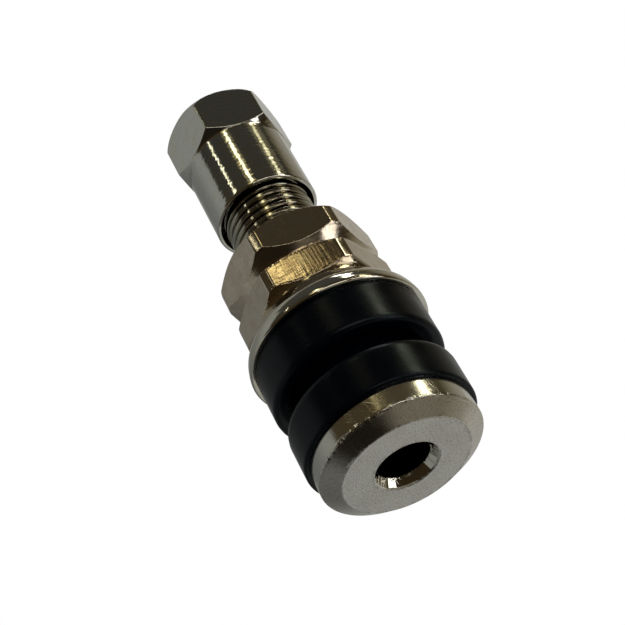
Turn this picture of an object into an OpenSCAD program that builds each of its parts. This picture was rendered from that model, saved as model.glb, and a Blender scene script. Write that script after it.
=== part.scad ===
// Clamp-in tyre valve: bored stem, rubber rings, bell washer, two nuts, screw cap and valve core.
// The flat face of the head lies on z = 0 and the stem runs up +Z to the cap.

/* [Head] */
// How far the round head is set in from the rubber ring on it
head_set_in = 0.4; // [0.2:0.05:0.8]
// Height of the head
head_h = 2.7; // [2:0.1:4]
// Width of the chamfer round the flat face that the valve stands on
head_chamfer_w = 1.45; // [0.8:0.05:2]
// Height of that chamfer
head_chamfer_h = 0.95; // [0.5:0.05:1.6]
// Diameter of the countersink where air enters
inlet_d = 5.4; // [5:0.1:7]
// Depth of that countersink
inlet_h = 0.8; // [0.3:0.1:1.6]

/* [Stem] */
// Length of the stem from its flat face to its threaded end
stem_l = 37.8; // [37:0.1:45]
// Outside diameter of the stem's thread
thread_d = 7.7; // [7.5:0.05:7.9]
// Turns of that thread in an inch
threads_per_inch = 32; // [28:1:36]
// Depth of the thread's grooves
thread_cut = 0.42; // [0.2:0.02:0.5]
// Width of the thread's crests
thread_crest = 0.16; // [0.1:0.02:0.3]
// Chamfer at the threaded end
tip_chamfer = 0.5; // [0.2:0.05:0.7]
// Diameter of the air bore in the head
air_bore_d = 4.4; // [4.2:0.1:4.8]
// Height at which the air bore narrows to the core bore
air_bore_l = 17; // [8:0.5:17]
// Height of the cone between the two bores
bore_step_h = 0.4; // [0.2:0.05:1]
// Diameter of the narrow bore round the core
core_bore_d = 3.9; // [3.8:0.05:4.1]
// Diameter of the bore that the core screws into
core_thread_d = 5.2; // [5:0.05:5.5]

/* [Rubber rings] */
// How much smaller the radius of the ring on the head is than the outer ring's
ring_step = 0.1; // [0:0.05:0.5]
// Height of the ring that sits on the head
inner_ring_h = 3.85; // [2.5:0.05:6]
// Diameter of the neck that passes through the rim
neck_d = 11.3; // [10:0.1:12.4]
// Height of the neck between the two rings
neck_h = 1.85; // [1:0.05:5]
// How far the washer's rim stands out from the ring outside the rim
washer_overhang = 0.4; // [0.2:0.05:0.6]
// Height of the ring outside the rim, up to the washer
outer_ring_h = 4.05; // [2.5:0.05:6]
// Edge radius beside the groove, inner ring
inner_edge_r = 0.7; // [0.2:0.05:1]
// Edge radius beside the groove, outer ring
outer_edge_r = 0.45; // [0.2:0.05:0.9]

/* [Bell washer] */
// Diameter of the washer's rim
washer_d = 15.3; // [15:0.1:18]
// Height of the washer
washer_h = 2.9; // [2.6:0.05:4]
// Height of the rim's straight wall
rim_h = 0.9; // [0.5:0.05:1.3]
// Diameter of the flat on which the nut presses
crown_d = 11; // [10.4:0.1:11.8]
// Radius of the shoulder round that flat
shoulder_r = 1.3; // [1.1:0.05:1.5]
// Thickness of the washer's metal
washer_t = 0.95; // [0.6:0.05:1]

/* [Nuts] */
// Width across the flats of both nuts
nut_af = 11.8; // [11.4:0.1:12.4]
// Diameter at the nuts' rounded corners
nut_corner_d = 13; // [12.6:0.1:13.2]
// Diameter of the nuts' end faces
nut_face_d = 10.7; // [10.4:0.1:11.2]
// Height of the lower nut
clamp_nut_h = 3.5; // [2.5:0.1:4]
// Height of the upper nut
lock_nut_h = 4.4; // [3.6:0.1:4.6]
// Chamfer angle of the lower nut
clamp_chamfer = 30; // [20:1:40]
// Chamfer angle of the upper nut
lock_chamfer = 45; // [25:1:52]
// How far the lower nut is turned
clamp_turn = 8; // [0:1:59]
// How far the upper nut is turned
lock_turn = 13; // [0:1:59]
// Countersink at both ends of a nut's thread
nut_lead = 0.4; // [0.2:0.05:0.6]

/* [Cap] */
// How far the flats of the cap's hexagon stand out from the skirt
flat_proud = 0.05; // [0.02:0.01:0.3]
// Wall of the cap's round skirt at its mouth
skirt_wall = 0.35; // [0.3:0.05:0.6]
// Height of the whole cap
cap_h = 12.3; // [11.5:0.1:13]
// Height of the round skirt
skirt_h = 7.1; // [6:0.1:8]
// Angle of the cone between the skirt and the hexagon's corners
cap_chamfer = 39; // [25:1:50]
// Radius of the rounded shoulder at the closed end
cap_shoulder_r = 2.4; // [1.5:0.1:3]
// How far the edge of the closed end's flat is set in from the skirt
cap_flat_in = 1.5; // [1.3:0.05:1.8]
// Thickness of the cap's closed end
cap_roof_t = 1.7; // [1.2:0.1:2.2]
// How far the cap is turned
cap_turn = 20; // [0:1:59]
// Width of the lead-in at the cap's mouth, round the thread's hole
lead_in_w = 0.3; // [0.2:0.05:0.5]
// Depth of that lead-in
lead_in_h = 0.7; // [0.4:0.1:1.5]
// Rounding of the skirt's lip
lip_r = 0.15; // [0.05:0.05:0.2]
// Thickness of the rubber disc in the cap
cap_gasket_h = 1; // [0.6:0.1:1.4]
// How far the rubber disc reaches into the cap's undercut
gasket_undercut = 0.1; // [0.05:0.05:0.15]

/* [Valve core] */
// Depth of the core's flats below the stem's end
core_recess = 1; // [0.6:0.1:1.6]
// Height of the two flats for the core key
tang_h = 1.9; // [1:0.1:2.4]
// Width across the two flats
tang_w = 2; // [1.9:0.1:2.8]
// Length of the core's threaded plug
plug_l = 3.3; // [2.4:0.1:4]
// Height of the barrel's journal in the plug
journal_h = 1.2; // [0.8:0.1:1.8]
// Diameter of the barrel's journal in the plug
journal_d = 3.6; // [3.2:0.1:3.8]
// Height of the barrel's collar above the core gasket
collar_h = 1; // [0.6:0.1:1.4]
// Height of the core gasket
core_gasket_h = 1.3; // [0.8:0.1:1.8]
// Height of the flange under the core gasket
flange_h = 0.5; // [0.3:0.1:0.8]
// Length of the barrel below the core gasket
barrel_l = 8.2; // [7.4:0.1:9]
// Outside diameter of the barrel
barrel_d = 3.4; // [3.2:0.05:3.5]
// Inside diameter of the barrel
barrel_bore_d = 2.6; // [2.5:0.05:2.8]
// Thickness of the barrel's floor
barrel_floor_t = 0.9; // [0.5:0.1:1.2]
// Diameter of the pin
pin_d = 1.5; // [1.3:0.05:1.6]
// Depth of the pin's top below the stem's end
pin_recess = 0.25; // [0.1:0.05:0.6]
// Air gap round the pin in the plug and the barrel's floor
pin_air_gap = 0.12; // [0.08:0.01:0.15]
// Length of the coil spring
spring_l = 5.4; // [4:0.1:6]
// Wire diameter of the coil spring
spring_wire_d = 0.3; // [0.2:0.02:0.32]
// Turns of the coil spring
spring_turns = 7; // [5:1:9]
// Height of the pin's collar on the spring
pin_collar_h = 0.6; // [0.4:0.1:1]
// Outside diameter of the cup on the pin
cup_d = 3.4; // [3.2:0.05:3.5]
// Height of the cup
cup_h = 1.5; // [1:0.1:2]
// Wall of the cup
cup_wall = 0.25; // [0.15:0.05:0.35]
// How far the rubber stands above the cup's edge
seal_proud = 0.2; // [0.1:0.05:0.4]
// Diameter of the riveted foot of the pin
rivet_d = 2.2; // [1.9:0.1:2.6]
// Height of the riveted foot of the pin
rivet_h = 0.35; // [0.2:0.05:0.6]

/* [Fits] */
// Gap between pieces that turn or slide on each other
fit_gap = 0.05; // [0.03:0.01:0.08]
// Gap between curved faces that seat on each other
seat_gap = 0.03; // [0.02:0.01:0.05]

/* [Hidden] */
$fn = 96;
inch = 25.4;
hex_sides = 6;
spring_steps = 20;
wire_sides = 8;

nickel = [0.72, 0.69, 0.62];
brass = [0.80, 0.66, 0.36];
rubber = [0.06, 0.06, 0.07];
steel = [0.62, 0.62, 0.64];

// Radii shared by neighbouring pieces
thread_r = thread_d / 2;
hole_r = thread_r + fit_gap;
outer_ring_r = washer_d / 2 - washer_overhang;
inner_ring_r = outer_ring_r - ring_step;
head_r = inner_ring_r - head_set_in;
lead_in_r = hole_r + lead_in_w;
skirt_r = lead_in_r + skirt_wall;
cap_gasket_r = hole_r + gasket_undercut;
core_bore_r = core_bore_d / 2;
core_thread_r = core_thread_d / 2;
pin_r = pin_d / 2;
pin_hole_r = pin_r + pin_air_gap;
barrel_r = barrel_d / 2;
barrel_bore_r = barrel_bore_d / 2;

// Heights of the stack on the stem, from the head up
ring_top = head_h + inner_ring_h;
neck_top = ring_top + neck_h;
rim_z = neck_top + outer_ring_h;
washer_top = rim_z + washer_h;
clamp_top = washer_top + clamp_nut_h;

// The thread is a row of rings at its pitch, from the washer's rim to the stem's end
thread_pitch = inch / threads_per_inch;
thread_turns = floor((stem_l - tip_chamfer - rim_z) / thread_pitch);

// Outline of one groove of the thread, with its foot at height z
function groove_outline(z) =
    let (groove_h = thread_pitch - thread_crest)
    [[thread_r, z], [thread_r - thread_cut, z + groove_h / 2], [thread_r, z + groove_h]];

// Heights of the cap, from the stem's end
gasket_z = stem_l + seat_gap;
roof_z = gasket_z + cap_gasket_h;
cap_top = roof_z + cap_roof_t;
mouth_z = cap_top - cap_h;
hex_z = mouth_z + skirt_h;

// Heights of the core, from the stem's end down
tang_top = stem_l - core_recess;
plug_top = tang_top - tang_h;
plug_z = plug_top - plug_l;
collar_top = plug_z - fit_gap;
collar_z = collar_top - collar_h;
seat_z = collar_z - core_gasket_h;
barrel_z = seat_z - barrel_l;
spring_z = barrel_z + barrel_floor_t;
spring_top = spring_z + spring_l;
seal_top = barrel_z - seat_gap;
cup_top = seal_top - seal_proud;
cup_z = cup_top - cup_h;
cup_floor = cup_z + cup_wall;

// Radius of the tapered core seat at height z
function seat_r(z) = core_bore_r + (core_thread_r - core_bore_r) * (z - seat_z) / (collar_top - seat_z);

// Point at the given angle on a circle about c
function on_circle(c, r, angle) = c + r * [cos(angle), sin(angle)];

// The washer's side runs straight from the rim's upper edge to its tangent on the shoulder
shoulder_c = [crown_d / 2, washer_top - shoulder_r];
rim_edge = [washer_d / 2, rim_z + rim_h];
rim_reach = rim_edge - shoulder_c;
side_angle = atan2(rim_reach[1], rim_reach[0]) + acos(shoulder_r / norm(rim_reach));
side_slope = tan(90 - side_angle);

// Radius of the hollow under the washer at height z, set in from it by gap
function hollow_r(z, gap) =
    let (wall_point = on_circle(rim_edge, -(washer_t + gap), side_angle))
    wall_point[0] - (z - wall_point[1]) / side_slope;

// Outline of the hollow under the washer, set in from it by gap
function hollow_outline(gap) =
    let (ceiling = washer_top - washer_t - gap)
    [[hole_r, rim_z], [hollow_r(rim_z, gap), rim_z], [hollow_r(ceiling, gap), ceiling], [hole_r, ceiling]];

// Outline of a ring with an outer edge of radius r, at its top or its foot
module ring_outline(outer_r, z0, z1, r, round_top) {
    core_w = outer_r - hole_r;
    edge_z = round_top ? z1 - r : z0 + r;
    translate([hole_r, z0])
        square([core_w - r, z1 - z0]);
    translate([hole_r, round_top ? z0 : z0 + r])
        square([core_w, z1 - z0 - r]);
    translate([outer_r - r, edge_z])
        circle(r = r);
}

// Six-sided bar standing on z
module hex_bar(af, z, h, turn) {
    translate([0, 0, z])
        rotate([0, 0, turn])
            cylinder(d = af / cos(180 / hex_sides), h = h, $fn = hex_sides);
}

// Hexagon nut with turned chamfers, rounded corners and a countersunk hole
module hex_nut(z, h, turn, chamfer) {
    face_r = nut_face_d / 2;
    corner_r = nut_corner_d / 2;
    rise = (corner_r - face_r) * tan(chamfer);
    difference() {
        intersection() {
            hex_bar(nut_af, z, h, turn);
            translate([0, 0, z])
                rotate_extrude()
                    polygon([
                        [0, 0], [face_r, 0], [corner_r, rise], [corner_r, h - rise], [face_r, h], [0, h]
                    ]);
        }
        translate([0, 0, z])
            rotate_extrude()
                polygon([
                    [0, 0], [hole_r + nut_lead, 0], [hole_r, nut_lead], [hole_r, h - nut_lead],
                    [hole_r + nut_lead, h], [0, h]
                ]);
    }
}

// Turned stem: head with a chamfered flat face, threaded barrel, air bore and tapered core seat
module stem() {
    air_r = air_bore_d / 2;
    color(nickel)
        rotate_extrude()
            polygon([
                [inlet_d / 2, 0],
                [head_r - head_chamfer_w, 0],
                [head_r, head_chamfer_h],
                [head_r, head_h],
                [thread_r, head_h],
                for (turn = [0 : thread_turns - 1]) each groove_outline(rim_z + turn * thread_pitch),
                [thread_r, stem_l - tip_chamfer],
                [thread_r - tip_chamfer, stem_l],
                [core_thread_r + tip_chamfer / 2, stem_l],
                [core_thread_r, stem_l - tip_chamfer / 2],
                [core_thread_r, collar_top],
                [core_bore_r, seat_z],
                [core_bore_r, air_bore_l + bore_step_h],
                [air_r, air_bore_l],
                [air_r, inlet_h]
            ]);
}

// Rubber ring on the head, with the neck that fills the rim's hole
module inner_grommet() {
    color(rubber)
        rotate_extrude() {
            ring_outline(inner_ring_r, head_h, ring_top, inner_edge_r, true);
            translate([hole_r, head_h])
                square([neck_d / 2 - hole_r, neck_top - head_h]);
        }
}

// Rubber ring outside the rim, crowned to fill the bell washer
module outer_grommet() {
    color(rubber)
        rotate_extrude() {
            ring_outline(outer_ring_r, neck_top, rim_z, outer_edge_r, false);
            polygon(hollow_outline(fit_gap));
        }
}

// Dished washer: flat crown, round shoulder, sloping side and straight rim
module bell_washer() {
    side_top = on_circle(shoulder_c, shoulder_r, side_angle);
    color(nickel)
        rotate_extrude()
            difference() {
                union() {
                    translate([hole_r, rim_z])
                        square([washer_d / 2 - hole_r, rim_h]);
                    polygon([
                        [hole_r, rim_edge[1]], rim_edge, side_top, [shoulder_c[0], side_top[1]],
                        [shoulder_c[0], washer_top], [hole_r, washer_top]
                    ]);
                    translate(shoulder_c)
                        circle(r = shoulder_r);
                }
                polygon(hollow_outline(0));
            }
}

// Lower nut, which presses on the washer
module clamp_nut() {
    color(brass)
        hex_nut(washer_top, clamp_nut_h, clamp_turn, clamp_chamfer);
}

// Upper nut, which locks the lower one
module lock_nut() {
    color(nickel)
        hex_nut(clamp_top, lock_nut_h, lock_turn, lock_chamfer);
}

// Screw cap: round skirt, hexagon end with turned cone and rounded shoulder, blind bore
module cap_shell() {
    shoulder_at = [skirt_r - cap_flat_in, cap_top - cap_shoulder_r];
    turned_r = shoulder_at[0] + cap_shoulder_r;
    cone_top = hex_z + (turned_r - skirt_r) * tan(cap_chamfer);
    pocket_r = cap_gasket_r + fit_gap;
    cap_af = 2 * (skirt_r + flat_proud);
    color(nickel)
        difference() {
            union() {
                rotate_extrude()
                    polygon([
                        [0, mouth_z], [skirt_r - lip_r, mouth_z], [skirt_r, mouth_z + lip_r],
                        [skirt_r, hex_z], [0, hex_z]
                    ]);
                intersection() {
                    hex_bar(cap_af, hex_z, cap_top - hex_z, cap_turn);
                    rotate_extrude() {
                        polygon([
                            [0, hex_z], [skirt_r, hex_z], [turned_r, cone_top],
                            [turned_r, shoulder_at[1]], [0, shoulder_at[1]]
                        ]);
                        translate([0, shoulder_at[1]])
                            square([shoulder_at[0], cap_shoulder_r]);
                        intersection() {
                            translate(shoulder_at)
                                circle(r = cap_shoulder_r);
                            translate(shoulder_at)
                                square(cap_shoulder_r);
                        }
                    }
                }
            }
            rotate_extrude()
                polygon([
                    [0, mouth_z], [lead_in_r, mouth_z], [lead_in_r, mouth_z + lead_in_h],
                    [hole_r, mouth_z + lead_in_h + (lead_in_r - hole_r)], [hole_r, gasket_z],
                    [pocket_r, gasket_z], [pocket_r, roof_z], [0, roof_z]
                ]);
        }
}

// Rubber disc snapped into the cap's undercut
module cap_gasket() {
    color(rubber)
        translate([0, 0, gasket_z])
            cylinder(r = cap_gasket_r, h = cap_gasket_h);
}

// Threaded plug of the core with two flats for the key
module core_swivel() {
    plug_r = core_thread_r - fit_gap;
    journal_hole_r = journal_d / 2 + fit_gap;
    color(brass)
        difference() {
            union() {
                translate([0, 0, plug_z])
                    cylinder(r = plug_r, h = plug_l);
                intersection() {
                    translate([0, 0, plug_top])
                        cylinder(r = plug_r - fit_gap, h = tang_h);
                    translate([-plug_r, -tang_w / 2, plug_z])
                        cube([plug_r * 2, tang_w, plug_l + tang_h]);
                }
            }
            translate([0, 0, plug_z - fit_gap])
                cylinder(r = pin_hole_r, h = plug_l + tang_h + fit_gap * 2);
            translate([0, 0, plug_z - fit_gap])
                cylinder(r = journal_hole_r, h = journal_h + fit_gap * 2);
        }
}

// Tube of the core: journal in the plug, collar, flange under the gasket, floor with the pin's hole
module core_barrel() {
    journal_r = journal_d / 2;
    collar_r = seat_r(collar_z) - fit_gap;
    flange_r = core_bore_r - fit_gap;
    color(brass)
        rotate_extrude()
            polygon([
                [pin_hole_r, barrel_z],
                [barrel_r, barrel_z],
                [barrel_r, seat_z - flange_h],
                [flange_r, seat_z - flange_h],
                [flange_r, seat_z],
                [barrel_r, seat_z],
                [barrel_r, collar_z],
                [collar_r, collar_z],
                [collar_r, collar_top],
                [journal_r, collar_top],
                [journal_r, plug_z + journal_h],
                [barrel_bore_r, plug_z + journal_h],
                [barrel_bore_r, spring_z],
                [pin_hole_r, spring_z]
            ]);
}

// Tapered ring that seals the core on the stem's seat
module core_gasket() {
    inner_r = barrel_r + seat_gap;
    color(rubber)
        rotate_extrude()
            polygon([
                [inner_r, seat_z],
                [seat_r(seat_z) - seat_gap, seat_z],
                [seat_r(collar_z) - seat_gap, collar_z],
                [inner_r, collar_z]
            ]);
}

// Pin with a rounded top, a collar on the spring and a riveted foot
module core_pin() {
    pin_top = stem_l - pin_recess;
    collar_r = barrel_bore_r - pin_air_gap;
    color(steel)
        rotate_extrude() {
            polygon([
                [0, cup_z - rivet_h], [rivet_d / 2, cup_z - rivet_h], [rivet_d / 2, cup_z], [pin_r, cup_z],
                [pin_r, spring_top], [collar_r, spring_top], [collar_r, spring_top + pin_collar_h],
                [pin_r, spring_top + pin_collar_h], [pin_r, pin_top - pin_r], [0, pin_top - pin_r]
            ]);
            intersection() {
                translate([0, pin_top - pin_r])
                    circle(r = pin_r);
                translate([0, pin_top - pin_r])
                    square(pin_r);
            }
        }
}

// Centre of the spring's wire at t from 0 at its foot to 1 at its top
function coil_point(t, coil_r, z0, rise) =
    [coil_r * cos(360 * spring_turns * t), coil_r * sin(360 * spring_turns * t), z0 + rise * t];

// Coil spring between the barrel's floor and the pin's collar
module core_spring() {
    wire_r = spring_wire_d / 2;
    coil_r = (barrel_bore_r + pin_r) / 2;
    z0 = spring_z + wire_r;
    rise = spring_l - spring_wire_d;
    rings = spring_turns * spring_steps;
    points = [
        for (i = [0:rings])
            let (p = coil_point(i / rings, coil_r, z0, rise), turn = 360 * spring_turns * i / rings)
            for (k = [0:wire_sides - 1])
                let (a = 360 * k / wire_sides)
                p + wire_r * [cos(a) * cos(turn), cos(a) * sin(turn), sin(a)]
    ];
    sides = [
        for (i = [0:rings - 1], k = [0:wire_sides - 1])
            let (n = (k + 1) % wire_sides)
            [i * wire_sides + k, i * wire_sides + n, (i + 1) * wire_sides + n, (i + 1) * wire_sides + k]
    ];
    foot = [for (k = [wire_sides - 1:-1:0]) k];
    top = [for (k = [0:wire_sides - 1]) rings * wire_sides + k];
    color(steel)
        polyhedron(points = points, faces = concat([foot, top], sides));
}

// Cup riveted on the pin's foot
module core_cup() {
    cup_r = cup_d / 2;
    hole = pin_r + seat_gap;
    color(brass)
        rotate_extrude()
            polygon([
                [hole, cup_z], [cup_r, cup_z], [cup_r, cup_top], [cup_r - cup_wall, cup_top],
                [cup_r - cup_wall, cup_floor], [hole, cup_floor]
            ]);
}

// Rubber in the cup, which closes on the barrel's floor
module core_cup_seal() {
    hole = pin_r + seat_gap;
    color(rubber)
        translate([0, 0, cup_floor])
            difference() {
                cylinder(r = cup_d / 2 - cup_wall - seat_gap, h = seal_top - cup_floor);
                translate([0, 0, -seat_gap])
                    cylinder(r = hole, h = seal_top - cup_floor + seat_gap * 2);
            }
}

stem();
inner_grommet();
outer_grommet();
bell_washer();
clamp_nut();
lock_nut();
cap_shell();
cap_gasket();
core_swivel();
core_barrel();
core_gasket();
core_pin();
core_spring();
core_cup();
core_cup_seal();
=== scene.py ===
"""Looks of a clamp-in tyre valve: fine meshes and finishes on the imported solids, as in the photograph."""

import logging
import math
from collections.abc import Callable, Iterator, Sequence
from dataclasses import dataclass
from enum import Enum

import bpy
import numpy as np
from mathutils import Matrix, Vector


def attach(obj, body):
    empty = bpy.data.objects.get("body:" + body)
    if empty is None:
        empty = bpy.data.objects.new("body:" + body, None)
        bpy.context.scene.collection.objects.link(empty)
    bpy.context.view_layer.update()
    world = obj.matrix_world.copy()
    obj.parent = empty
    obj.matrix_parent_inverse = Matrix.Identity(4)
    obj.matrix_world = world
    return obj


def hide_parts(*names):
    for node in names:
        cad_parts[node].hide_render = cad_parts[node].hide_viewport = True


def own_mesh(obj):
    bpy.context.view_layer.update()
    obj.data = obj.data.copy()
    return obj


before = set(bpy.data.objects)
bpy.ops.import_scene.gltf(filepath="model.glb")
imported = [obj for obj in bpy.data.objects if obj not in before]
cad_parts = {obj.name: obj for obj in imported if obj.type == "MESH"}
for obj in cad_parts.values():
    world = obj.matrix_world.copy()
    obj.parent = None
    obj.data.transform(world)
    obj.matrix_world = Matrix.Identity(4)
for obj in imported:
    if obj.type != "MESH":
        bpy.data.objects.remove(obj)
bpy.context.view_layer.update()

LOG = logging.getLogger("tyre_valve")
MM = 0.001
PER_MM = 1000.0
PITCH = 25.4 / 32
HOLE_R = 3.9
ROUND_R = 5.0
SCRATCH_DEPTH = 0.006
SCRATCH_TURNS = ((0.3, 0.2, 0.1), (1.1, 0.4, 0.8), (0.5, 1.3, 1.9))
SCRATCH_STRETCH = (9.0, 0.35, 0.35)

Colour = tuple[float, float, float]
Span = tuple[float, float]
Ramp = tuple[tuple[float, Colour], ...]
Socket = bpy.types.NodeSocket
Sockets = bpy.types.bpy_prop_collection
Values = dict[int | str, object]


class Lay(Enum):
    """Which way the tool marks run on a surface."""

    ROUND = "round the axis"
    AXIAL = "along the axis"


class Graph:
    """A shader node tree with short calls for adding and joining nodes."""

    def __init__(self, tree: bpy.types.NodeTree) -> None:
        """Keeps the tree that the calls add to."""
        self.tree = tree

    def fill(self, sockets: Sockets, values: Values) -> None:
        """Links sockets, or sets plain values on them.

        Args:
            sockets: A node's inputs.
            values: A socket, number, vector or colour for each input's name or place.
        """
        for place, value in values.items():
            target = sockets[place]
            if isinstance(value, Socket):
                self.tree.links.new(value, target)
            elif isinstance(value, tuple) and target.type == "RGBA":
                target.default_value = (*value, 1.0)
            else:
                target.default_value = value

    def add(self, kind: str, values: Values | None = None, **settings: object) -> Sockets:
        """Adds a node.

        Args:
            kind: Blender's name for the node's type, after ShaderNode.
            values: What goes into its inputs.
            settings: Properties to set on it first.

        Returns:
            The node's outputs.
        """
        made = self.tree.nodes.new(f"ShaderNode{kind}")
        for name, value in settings.items():
            setattr(made, name, value)
        self.fill(made.inputs, values or {})
        return made.outputs

    def math(self, operation: str, *values: object) -> Socket:
        """Joins numbers or sockets by one step of arithmetic, under Blender's name for it."""
        return self.add("Math", dict(enumerate(values)), operation=operation)[0]

    def times(self, first: object, second: object) -> Socket:
        """Multiplies two numbers or sockets."""
        return self.math("MULTIPLY", first, second)

    def add_up(self, base: object, *shares: tuple[Socket, object]) -> Socket:
        """Adds sockets to a value, each times a factor.

        Args:
            base: Number or socket to start from.
            shares: The sockets with their factors.

        Returns:
            The sum's socket.
        """
        for value, factor in shares:
            base = self.math("MULTIPLY_ADD", value, factor, base)
        return base

    def vector_math(self, operation: str, *vectors: object) -> Sockets:
        """Joins vectors by one step of arithmetic and gives the step's outputs."""
        return self.add("VectorMath", dict(enumerate(vectors)), operation=operation)

    def vector(self, *parts: object) -> Socket:
        """Makes a vector of three numbers or sockets."""
        return self.add("CombineXYZ", dict(enumerate(parts)))[0]

    def noise(self, vector: Socket, scale: object, detail: float) -> Socket:
        """Samples noise at a vector, with cells for each unit of it and finer layers."""
        return self.add("TexNoise", {"Vector": vector, "Scale": scale, "Detail": detail})["Fac"]

    def spread(
        self, value: Socket, low: float, high: float, to_low: float = 0.0, to_high: float = 1.0
    ) -> Socket:
        """Maps a range of values smoothly on another range and keeps the result inside that."""
        values = dict(enumerate((value, low, high, to_low, to_high)))
        return self.add("MapRange", values, interpolation_type="SMOOTHSTEP")[0]

    def under(self, value: Socket, low: float, high: float, share: float = 1.0) -> Socket:
        """Gives a share below a range of values, which fades to 0 over the range."""
        return self.spread(value, low, high, share, 0.0)

    def blend(self, share: object, first: object, second: object) -> Socket:
        """Mixes two colours by the second one's share."""
        return self.add("Mix", {0: share, 6: first, 7: second}, data_type="RGBA")[2]

    def ramp(self, value: Socket, stops: Ramp) -> Socket:
        """Maps a value from 0 to 1 on colours.

        Args:
            value: What is mapped.
            stops: The colours and where they lie, in rising order.

        Returns:
            The colour.
        """
        made = self.tree.nodes.new("ShaderNodeValToRGB")
        self.fill(made.inputs, {0: value})
        elements = made.color_ramp.elements
        elements.remove(elements[1])
        elements[0].position = stops[0][0]
        for position, _ in stops[1:]:
            elements.new(position)
        for element, (_, colour) in zip(elements, stops):
            element.color = (*colour, 1.0)
        return made.outputs[0]

    def group(self, tree: bpy.types.NodeTree, **values: object) -> Sockets:
        """Places a shared effect with values for its named inputs, and gives its outputs."""
        return self.add("Group", values, node_tree=tree)

    def emboss(self, shader: bpy.types.Node, height: Socket, unit: float = MM) -> None:
        """Gives a Principled shader bumps of a height, in units of a length in metres."""
        bump = self.add("Bump", {"Strength": 1.0, "Distance": unit, "Height": height})
        self.fill(shader.inputs, {"Normal": bump[0]})


def new_effect(
    name: str, inputs: dict[str, float | None], outputs: Sequence[str] = ("Mask",)
) -> tuple[Graph, Sockets, Sockets]:
    """Starts a shader node group with named sockets.

    Args:
        name: The group's name.
        inputs: Its inputs with their values; None stands for a vector.
        outputs: Its outputs, all plain values but for Point, which is a vector.

    Returns:
        The group's graph, what comes in and what goes out, by name.
    """
    tree = bpy.data.node_groups.new(name, "ShaderNodeTree")
    for label, value in inputs.items():
        kind = "NodeSocketVector" if value is None else "NodeSocketFloat"
        socket = tree.interface.new_socket(label, in_out="INPUT", socket_type=kind)
        if value is not None:
            socket.default_value = value
    for label in outputs:
        kind = "NodeSocketVector" if label == "Point" else "NodeSocketFloat"
        tree.interface.new_socket(label, in_out="OUTPUT", socket_type=kind)
    source, target = (tree.nodes.new(f"NodeGroup{end}") for end in ("Input", "Output"))
    return Graph(tree), source.outputs, target.inputs


class Effects:
    """The effects that several finishes share, each a node group built once."""

    def __init__(self) -> None:
        """Builds every group."""
        self.place = self._place()
        self.marks = self._marks()
        self.smudges = self._smudges()
        self.scratches = self._scratches()
        self.wear = self._wear()
        self.pores = self._pores()

    def _place(self) -> bpy.types.NodeTree:
        """Makes the group that gives a point's radius, height and way round, in millimetres.

        Returns:
            The group.
        """
        graph, _, out = new_effect("place_on_part", {}, ("Point", "Radius", "Height", "Round"))
        where = graph.add("TexCoord")["Object"]
        point = graph.vector_math("MULTIPLY", where, (PER_MM, PER_MM, PER_MM))[0]
        x, y, z = graph.add("SeparateXYZ", {0: point})
        squares = graph.math("ADD", graph.times(x, x), graph.times(y, y))
        turn = graph.math("ARCTAN2", x, graph.times(y, -1.0))
        places = {"Point": point, "Radius": graph.math("SQRT", squares), "Height": z}
        graph.fill(out, places | {"Round": graph.times(turn, ROUND_R)})
        return graph.tree

    def _marks(self) -> bpy.types.NodeTree:
        """Makes the group of fine parallel tool marks.

        Returns:
            The group.
        """
        inputs = {"Across": 0.0, "Along": 0.0, "Spacing": 0.1, "Length": 4.0}
        graph, source, out = new_effect("tool_marks", inputs, ("Height",))
        across = graph.math("DIVIDE", source["Across"], source["Spacing"])
        along = graph.math("DIVIDE", source["Along"], source["Length"])
        graph.fill(out, {"Height": graph.noise(graph.vector(across, along, 0.0), 1.0, 3.0)})
        return graph.tree

    def _smudges(self) -> bpy.types.NodeTree:
        """Makes the group of soft patches where a surface was handled.

        Returns:
            The group.
        """
        graph, source, out = new_effect("handling_smudges", {"Point": None, "Scale": 0.4})
        patches = graph.noise(source["Point"], source["Scale"], 4.0)
        graph.fill(out, {"Mask": graph.spread(patches, 0.35, 0.68)})
        return graph.tree

    def _scratches(self) -> bpy.types.NodeTree:
        """Makes the group of thin scratches in several directions.

        Returns:
            The group.
        """
        inputs = {"Point": None, "Scale": 1.0, "Amount": 0.5}
        graph, source, out = new_effect("thin_scratches", inputs)
        total: object = 0.0
        for turn in SCRATCH_TURNS:
            values = {"Vector": source["Point"], "Rotation": turn}
            turned = graph.add("VectorRotate", values, rotation_type="EULER_XYZ")[0]
            stretched = graph.vector_math("MULTIPLY", turned, SCRATCH_STRETCH)[0]
            sheets = graph.noise(stretched, source["Scale"], 1.0)
            total = graph.math("MAXIMUM", total, graph.spread(sheets, 0.66, 0.72))
        graph.fill(out, {"Mask": graph.times(total, source["Amount"])})
        return graph.tree

    def _wear(self) -> bpy.types.NodeTree:
        """Makes the group of rubbed patches along the edges that the meshes mark.

        Returns:
            The group.
        """
        graph, source, out = new_effect("edge_wear", {"Point": None, "Amount": 0.6})
        edge = graph.add("Attribute", attribute_name="edge")["Fac"]
        patches = graph.spread(graph.noise(source["Point"], 1.6, 3.0), 0.4, 0.62)
        graph.fill(out, {"Mask": graph.times(graph.times(edge, patches), source["Amount"])})
        return graph.tree

    def _pores(self) -> bpy.types.NodeTree:
        """Makes the group of fine dark pores in a plated surface.

        Returns:
            The group.
        """
        graph, source, out = new_effect("fine_pores", {"Point": None, "Scale": 7.0})
        grain = graph.noise(source["Point"], source["Scale"], 2.0)
        graph.fill(out, {"Mask": graph.spread(grain, 0.45, 0.75)})
        return graph.tree


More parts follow.
